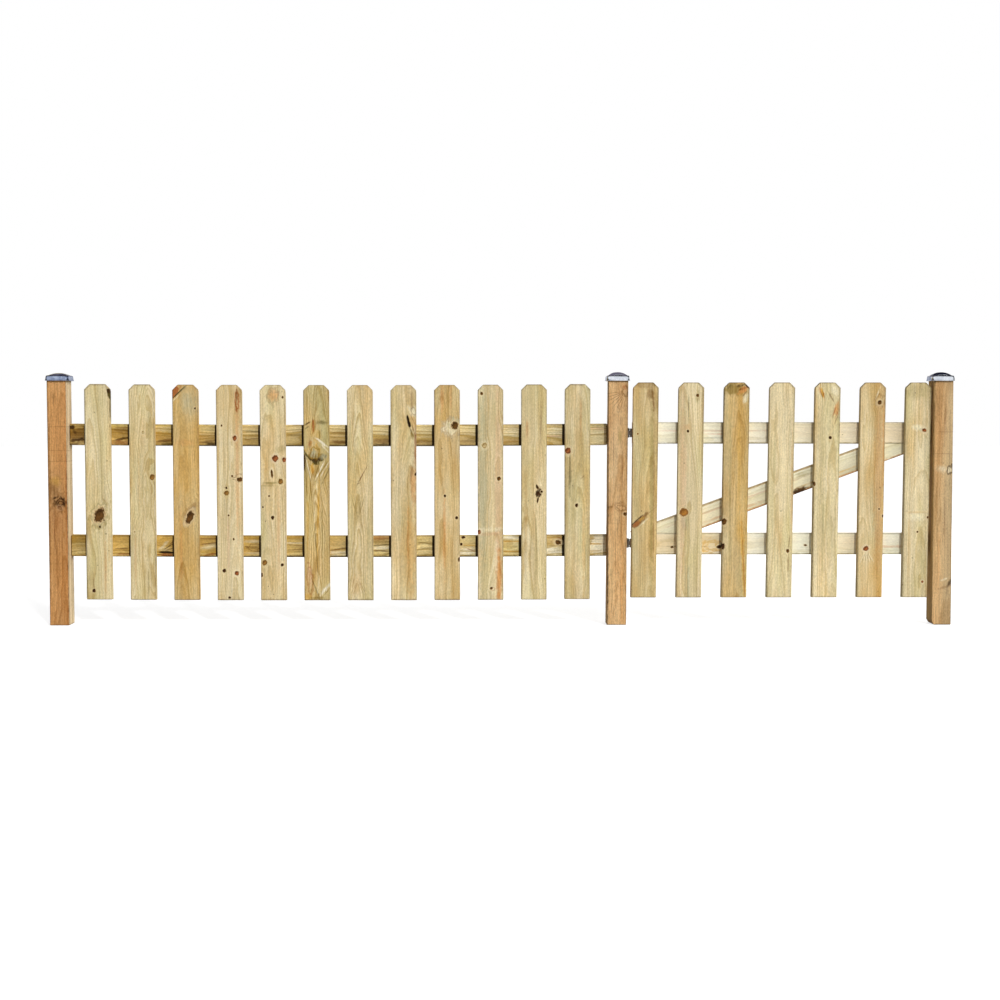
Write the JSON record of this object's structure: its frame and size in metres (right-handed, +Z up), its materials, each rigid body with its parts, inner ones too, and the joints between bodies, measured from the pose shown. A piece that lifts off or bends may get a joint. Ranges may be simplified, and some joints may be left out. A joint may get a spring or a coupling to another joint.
{
  "type": "picket fence run with garden gate",
  "caption": "Low pressure-treated picket fence bay and a braced picket gate on T-hinges, hung between square capped posts.",
  "frame": {"origin": "middle of the hinge post's foot, at ground level", "axes": "+X along the fence from the fence bay to the gate, +Y from the picket side to the rail side, +Z up"},
  "size_m": [3.3685, 0.093, 0.9395],
  "materials": {
    "post_timber": "sawn, pressure-treated softwood",
    "picket_timber": "planed, pressure-treated softwood with a faint green tint",
    "fence_rail_timber": "sawn, pressure-treated softwood, darker",
    "gate_rail_timber": "sawn, pressure-treated softwood, pale",
    "cap_sheet": "bright galvanised pressed sheet",
    "hinge_steel": "dull galvanised steel"
  },
  "bodies": {
    "posts_and_fence": {"left_post": "post_timber", "hinge_post": "post_timber", "latch_post": "post_timber", "left_cap": "cap_sheet", "hinge_cap": "cap_sheet", "latch_cap": "cap_sheet", "fence_rail_top": "fence_rail_timber", "fence_rail_bottom": "fence_rail_timber", "hinge_plate_top": "hinge_steel", "hinge_plate_bottom": "hinge_steel", "hinge_pin_top": "hinge_steel", "hinge_pin_bottom": "hinge_steel", "fence_picket_01": "picket_timber", "fence_picket_02": "picket_timber", "fence_picket_03": "picket_timber", "fence_picket_04": "picket_timber", "fence_picket_05": "picket_timber", "fence_picket_06": "picket_timber", "fence_picket_07": "picket_timber", "fence_picket_08": "picket_timber", "fence_picket_09": "picket_timber", "fence_picket_10": "picket_timber", "fence_picket_11": "picket_timber", "fence_picket_12": "picket_timber"},
    "gate_leaf": {"gate_rail_top": "gate_rail_timber", "gate_rail_bottom": "gate_rail_timber", "gate_brace": "gate_rail_timber", "hinge_strap_top": "hinge_steel", "hinge_strap_bottom": "hinge_steel", "gate_picket_1": "picket_timber", "gate_picket_2": "picket_timber", "gate_picket_3": "picket_timber", "gate_picket_4": "picket_timber", "gate_picket_5": "picket_timber", "gate_picket_6": "picket_timber", "gate_picket_7": "picket_timber"}
  },
  "joints": [
    {"name": "gate_swing", "type": "hinge", "parent": "posts_and_fence", "child": "gate_leaf", "pos_m": [0.0455, 0.042, 0.5065], "axis": [0, 0, 1], "range_deg": [0, 180]}
  ]
}
